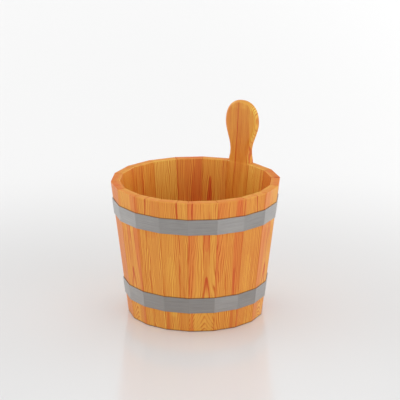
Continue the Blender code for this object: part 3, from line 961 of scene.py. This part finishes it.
def close_seams(shape, board_frame):
    """Move a stave's mitred sides out until it all but touches its neighbours."""
    across = board_frame.col[0].to_3d()
    for vertex in shape.verts:
        if vertex.co.z < RIM_HEIGHT + MERGE_DISTANCE:
            side = 1.0 if (vertex.co - board_frame.translation).dot(across) > 0.0 else -1.0
            vertex.co += across * (side * SEAM_CLOSING)


def swell_grip(shape, board_frame):
    """Widen the handle above the rim a little, so that with rounded edges it still fills its outline."""
    across = board_frame.col[0].to_3d()
    for vertex in shape.verts:
        share = min(1.0, max(0.0, vertex.co.z - RIM_HEIGHT) / GRIP_SWELL_RISE)
        vertex.co += across * ((vertex.co - board_frame.translation).dot(across) * GRIP_SWELL * share)


def grip_ease(edge, inward):
    """Easing of a handle edge above the rim, wider on the inner face."""
    inner = any(face.normal.dot(inward) > INNER_FACING for face in edge.link_faces)
    return GRIP_INNER_EASE if inner else GRIP_EASE


def add_stave(node_name, number, seams):
    """A stave that meets its neighbours; the one with the handle has a rounded grip."""
    shape = flat_faced(node_name)
    board_frame = stave_frame(shape)
    close_seams(shape, board_frame)
    swell_grip(shape, board_frame)
    material = wood_material(f"{node_name}_wood", board_frame, BOARDS[node_name], number, seams)
    inward = board_frame.col[1].to_3d()

    def width_of(edge):
        if not edge.is_convex:
            return 0.0
        if max(vertex.co.z for vertex in edge.verts) > RIM_HEIGHT + MERGE_DISTANCE:
            return grip_ease(edge, inward)
        if is_level(edge):
            return RIM_EASE if edge.verts[0].co.z > RIM_HEIGHT / 2.0 else FOOT_EASE
        return SEAM_EASE

    ease = ease_weights(shape, width_of)
    segments = GRIP_SEGMENTS if node_name == HANDLE else EASE_SEGMENTS
    add_piece(node_name, shape, ease, material, segments)


def lying_frame(along, start):
    """Frame of a board or dowel that lies level, from the middle of its upper edge at one end."""
    matrix = Matrix((along.cross(UP), -UP, along)).transposed().to_4x4()
    matrix.translation = start
    return matrix


def add_bottom_board(node_name, number):
    """A board of the bottom, with its grain along x."""
    shape = flat_faced(node_name)
    low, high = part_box(node_name)
    start = Vector((low.x, (low.y + high.y) / 2.0, high.z))
    board_frame = lying_frame(Vector((1.0, 0.0, 0.0)), start)
    material = wood_material(f"{node_name}_wood", board_frame, bottom_wood(number), number)
    add_piece(node_name, shape, even_ease(shape, BOARD_EASE), material)


def finish_dowel(node_name, number):
    """Wood for a dowel, with its grain along y."""
    low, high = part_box(node_name)
    start = Vector(((low.x + high.x) / 2.0, low.y, high.z))
    dowel_frame = lying_frame(Vector((0.0, 1.0, 0.0)), start)
    finish_node(node_name, wood_material(f"{node_name}_wood", dowel_frame, DOWEL_WOOD, number))


def add_hoop(node_name, material):
    """A hoop of bent strip, its cut edges a little blunted."""
    shape = flat_faced(node_name)
    add_piece(node_name, shape, even_ease(shape, HOOP_EASE), material)


# Studio floor: its levels under the tub, near it and far off, by the distance from a place before the tub.
# Painted light: lighter under the tub against its shadow, and rising from grey near it to white far off
FLOOR_REACH = 14.0
FLOOR_SEGMENTS = 96
FLOOR_DROP = 0.0002
FLOOR_ROUGHNESS = 0.16
FLOOR_CENTRE = (0.1443, -0.2041, 0.0)
FLOOR_UNDER_PAINTED_LIGHT = 0.88
FLOOR_NEAR = 0.812
FLOOR_FAR = 0.98
FLOOR_UNDER_REACH = 0.2
FLOOR_NEAR_REACH = 0.48
FLOOR_FAR_REACH = 1.05

# Studio light: its levels at the horizon and straight above
WORLD_HORIZON = 1.04
WORLD_ZENITH = 0.66


@dataclass
class Glow:
    """A broad light at the horizon: its bearing, how squarely its edge is faced, and the level it adds."""
    bearing: float
    edge: float
    level: float


GLOWS = (
    Glow(math.radians(195.0), 0.6, 1.2),
    Glow(math.radians(75.0), 0.6, 1.2),
    Glow(math.radians(-5.0), 0.8, 1.4),
)


def add_floor():
    """Pale glossy floor with light painted into its colour: lighter under the tub, grey about it and white
    further off.
    """
    shape = bmesh.new()
    bmesh.ops.create_circle(shape, cap_ends=True, segments=FLOOR_SEGMENTS, radius=FLOOR_REACH)
    mesh = bpy.data.meshes.new("floor")
    shape.to_mesh(mesh)
    shape.free()
    floor = bpy.data.objects.new("floor", mesh)
    floor.location.z = -FLOOR_DROP
    bpy.context.scene.collection.objects.link(floor)
    material, graph, shader = new_material("floor")
    place = graph.node("ShaderNodeTexCoord").outputs["Object"]
    away = graph.vector_math("DISTANCE", place, FLOOR_CENTRE)
    # Painted light: lighter under the tub, grey about it and white far off
    near = graph.span(away, FLOOR_UNDER_REACH, FLOOR_NEAR_REACH, FLOOR_UNDER_PAINTED_LIGHT, FLOOR_NEAR)
    level = graph.span(away, FLOOR_NEAR_REACH, FLOOR_FAR_REACH, near, FLOOR_FAR)
    graph.feed(shader.inputs["Base Color"], level)
    shader.inputs["Roughness"].default_value = FLOOR_ROUGHNESS
    mesh.materials.append(material)


def add_world():
    """White light from all round, dimmer towards the top, with broad glows at the horizon."""
    world = bpy.data.worlds.new("studio")
    bpy.context.scene.world = world
    world.use_nodes = True
    background = world.node_tree.nodes["Background"]
    background.inputs["Color"].default_value = (1.0, 1.0, 1.0, 1.0)
    graph = Graph(world.node_tree)
    ray = graph.node("ShaderNodeTexCoord").outputs["Generated"]
    level = graph.span(graph.split(ray)["Z"], 0.0, 1.0, WORLD_HORIZON, WORLD_ZENITH)
    for glow in GLOWS:
        towards = (math.cos(glow.bearing), math.sin(glow.bearing), 0.0)
        faced = graph.vector_math("DOT_PRODUCT", ray, towards)
        level = graph.math("ADD", level, graph.span(faced, glow.edge, 1.0, 0.0, glow.level))
    graph.feed(background.inputs["Strength"], level)


def add_camera():
    """The camera where the photograph's stood, looking down at the tub."""
    camera = bpy.data.objects.new("camera", bpy.data.cameras.new("camera"))
    camera.location = CAMERA_PLACE
    camera.rotation_euler = (math.pi / 2.0 - CAMERA_TILT, 0.0, CAMERA_TURN)
    camera.data.lens = CAMERA_LENS
    camera.data.sensor_width = CAMERA_SENSOR
    bpy.context.scene.collection.objects.link(camera)
    bpy.context.scene.camera = camera


bpy.context.scene.view_settings.view_transform = "Standard"
add_camera()
add_world()
add_floor()

# Each wooden piece has its own number, which moves its grain
stave_seams = stave_sides()
for number, name in enumerate(STAVE_NAMES):
    add_stave(name, number, stave_seams)
for number, name in enumerate(BOARD_NAMES, start=len(STAVE_NAMES)):
    add_bottom_board(name, number)
for number, name in enumerate(DOWEL_NAMES, start=len(STAVE_NAMES) + len(BOARD_NAMES)):
    finish_dowel(name, number)

rivet_steel = steel_material("rivet_steel_brushed", RIVET_TINT, RIVET_ROUGHNESS)
for name in RIVET_NAMES:
    finish_node(name, rivet_steel)
add_hoop("upper_hoop", steel_material("upper_hoop_brushed", UPPER_HOOP_TINT, HOOP_ROUGHNESS))
add_hoop("lower_hoop", steel_material("lower_hoop_brushed", LOWER_HOOP_SHADED_TINT, HOOP_ROUGHNESS))
